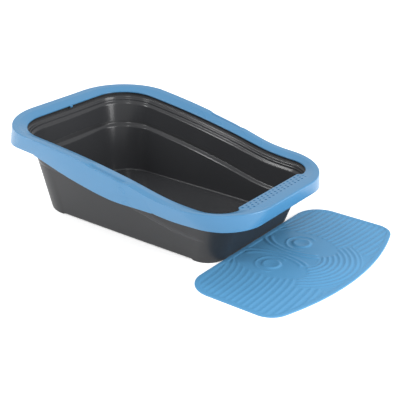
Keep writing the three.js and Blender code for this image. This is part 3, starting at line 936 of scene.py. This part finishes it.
def mat_grid(mat, plan):
    """Places across and along the mat, a column for each x and the same number of rows in each."""
    spacing = mat.grid / MM
    inner_half = plan.half - MAT_INSET
    flat = plan.half - plan.front_radius
    straight = np.linspace(-flat, flat, int(2 * flat / spacing) + 1)
    turn = np.sin(np.linspace(0, math.pi / 2, 26))[1:] * (inner_half - flat) + flat
    x = np.concatenate([-turn[::-1], straight, turn])
    share = np.linspace(0, 1, int(plan.depth / spacing) + 1)[:, None]
    start, end = plan.back_edge(x, MAT_INSET), plan.front_edge(x, MAT_INSET)
    v = start + (end - start) * share
    return np.broadcast_to(x, v.shape), v


def mat_margin(x, v, plan):
    """Distance from the mat's edge, near enough to draw the border with."""
    side = np.abs(x)
    margin = np.minimum.reduce([plan.half - side, v - plan.back_edge(x, 0), plan.front_edge(x, 0) - v])
    corner_x = plan.half - plan.back_radius
    corner = plan.back_radius - np.hypot(
        np.clip(side - corner_x, 0, None), np.clip(plan.back_radius - v, 0, None))
    return np.where((side > corner_x) & (v < plan.back_radius), corner, margin)


def mat_heights(x, v, mat, plan):
    """Heights of the mat's top: the pattern inside a raised border."""
    field = smooth(mat_margin(x, v, plan), MAT_BORDER, MAT_BORDER + 3)
    return mat.sheet / MM + mat.ridge / MM * (relief(x, v, mat) * field + 0.9 * (1 - field))


def mat_edge_rings(edge):
    """Loops that round the mat's edge over and bring it down to the floor."""
    along = np.roll(edge, -1, 0)[:, :2] - np.roll(edge, 1, 0)[:, :2]
    along /= np.linalg.norm(along, axis=1, keepdims=True)
    outward = np.column_stack([along[:, 1], -along[:, 0]])
    places = [(out, edge[:, 2] - drop) for out, drop in EDGE_OVER]
    places += [(out, np.full(len(edge), height)) for out, height in EDGE_UNDER]
    return [np.column_stack([edge[:, :2] + outward * out, z]) for out, z in places]


def mat_mesh(mat):
    """Points in millimetres and faces of the mat: the relief on top, its edge and a flat underside."""
    plan = MatPlan(mat)
    x, v = mat_grid(mat, plan)
    middle = (MAT_LOW[0] + MAT_HIGH[0]) / 2
    height = mat_heights(x, v, mat, plan)
    top = np.column_stack([x.ravel() + middle, MAT_HIGH[1] - v.ravel(), height.ravel()])
    index = np.arange(len(top)).reshape(x.shape)
    faces = np.stack([index[:-1, :-1], index[1:, :-1], index[1:, 1:], index[:-1, 1:]], -1)
    faces = faces.reshape(-1, 4).tolist()
    above = np.concatenate([index[0, ::-1], index[1:, 0], index[-1, 1:], index[-2:0:-1, -1]])
    rings = mat_edge_rings(top[above])
    for k in range(len(rings)):
        below = len(top) + k * len(above) + np.arange(len(above))
        faces += np.column_stack([above, below, np.roll(below, -1), np.roll(above, -1)]).tolist()
        above = below
    faces.append(above[::-1].tolist())
    return np.vstack([top, *rings]), faces


class BuildMat(bpy.types.Operator):
    """Build the thin mat with its raked relief"""
    bl_idname = "litter_tray.build_mat"
    bl_label = "Relief mat"

    def execute(self, context):
        settings = context.scene.litter_tray
        points, faces = mat_mesh(settings.mat)
        piece = mesh_object("relief_mat", points, faces, mat_plastic(settings.looks))
        sharpen(piece, 60)
        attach(piece, "mat")
        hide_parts("mat")
        return {"FINISHED"}


# ---------------------------------------------------------------- studio

def soft_box(name, place, aim, size, power):
    """A large area light that looks at a point."""
    lamp = bpy.data.lights.new(name, "AREA")
    lamp.shape = "RECTANGLE"
    lamp.size, lamp.size_y = size
    lamp.energy = power
    light = bpy.data.objects.new(name, lamp)
    light.location = place
    light.rotation_euler = (Vector(aim) - Vector(place)).to_track_quat("-Z", "Y").to_euler()
    bpy.context.collection.objects.link(light)


def add_floor(colour):
    """A large matt floor that glows a little, so that it stays white under the pieces' shadows."""
    material = bpy.data.materials.new("studio_floor")
    material.use_nodes = True
    shader = material.node_tree.nodes["Principled BSDF"]
    shader.inputs["Base Color"].default_value = (*colour, 1.0)
    shader.inputs["Roughness"].default_value = 0.9
    shader.inputs["Emission Color"].default_value = (1.0, 1.0, 1.0, 1.0)
    shader.inputs["Emission Strength"].default_value = 0.4
    bpy.ops.mesh.primitive_plane_add(size=FLOOR_SIZE)
    floor = bpy.context.object
    floor.name = "studio_floor"
    floor.data.materials.append(material)


def add_sky(scene):
    """An even white surround."""
    world = bpy.data.worlds.new("studio")
    world.use_nodes = True
    background = world.node_tree.nodes["Background"]
    background.inputs["Color"].default_value = (1.0, 1.0, 1.0, 1.0)
    background.inputs["Strength"].default_value = 0.85
    scene.world = world
    scene.view_settings.view_transform = "Standard"


def add_camera(scene, looks):
    """The camera, which looks down along the set from the front left."""
    turn, tilt = looks.azimuth, looks.elevation
    away = Vector((math.sin(turn) * math.cos(tilt), -math.cos(turn) * math.cos(tilt), math.sin(tilt)))
    lens = bpy.data.cameras.new("camera")
    lens.lens = looks.lens
    lens.sensor_width = 36.0
    camera = bpy.data.objects.new("camera", lens)
    camera.location = Vector(CAMERA_AIM) + away * looks.distance
    camera.rotation_euler = (math.pi / 2 - tilt, 0.0, turn)
    bpy.context.collection.objects.link(camera)
    scene.camera = camera


class BuildStage(bpy.types.Operator):
    """Build the pale floor, the soft studio light and the camera"""
    bl_idname = "litter_tray.build_stage"
    bl_label = "Studio"

    def execute(self, context):
        scene = context.scene
        looks = scene.litter_tray.looks
        add_floor(looks.floor_colour)
        add_sky(scene)
        for name, place, size, power in LAMPS:
            soft_box(name, place, LAMPS_AIM, size, power)
        add_camera(scene, looks)
        return {"FINISHED"}


# ---------------------------------------------------------------- panel and registration

class LitterTraySettings(bpy.types.PropertyGroup):
    """Everything a user can change."""
    rim: PointerProperty(type=RimSettings)
    tray: PointerProperty(type=TraySettings)
    mat: PointerProperty(type=MatSettings)
    looks: PointerProperty(type=LookSettings)


class LitterTrayPanel(bpy.types.Panel):
    """Lists the sizes, the colours and the builders"""
    bl_idname = "VIEW3D_PT_litter_tray"
    bl_label = "Litter Tray"
    bl_space_type = "VIEW_3D"
    bl_region_type = "UI"
    bl_category = "Litter Tray"

    def draw(self, context):
        settings = context.scene.litter_tray
        for title, group, builder in (
                ("Rim frame", settings.rim, BuildRimFrame), ("Tray", settings.tray, BuildTray),
                ("Relief mat", settings.mat, BuildMat), ("Looks", settings.looks, BuildStage)):
            box = self.layout.box()
            box.label(text=title)
            for key in type(group).__annotations__:
                box.prop(group, key)
            box.operator(builder.bl_idname)


CLASSES = (RimSettings, TraySettings, MatSettings, LookSettings, LitterTraySettings,
           BuildTray, BuildRimFrame, BuildMat, BuildStage, LitterTrayPanel)


def register():
    for cls in CLASSES:
        bpy.utils.register_class(cls)
    bpy.types.Scene.litter_tray = PointerProperty(type=LitterTraySettings)


def unregister():
    del bpy.types.Scene.litter_tray
    for cls in reversed(CLASSES):
        bpy.utils.unregister_class(cls)


def main():
    register()
    bpy.ops.litter_tray.build_stage()
    bpy.ops.litter_tray.build_tray()
    bpy.ops.litter_tray.build_rim_frame()
    bpy.ops.litter_tray.build_mat()


if __name__ == "__main__":
    main()
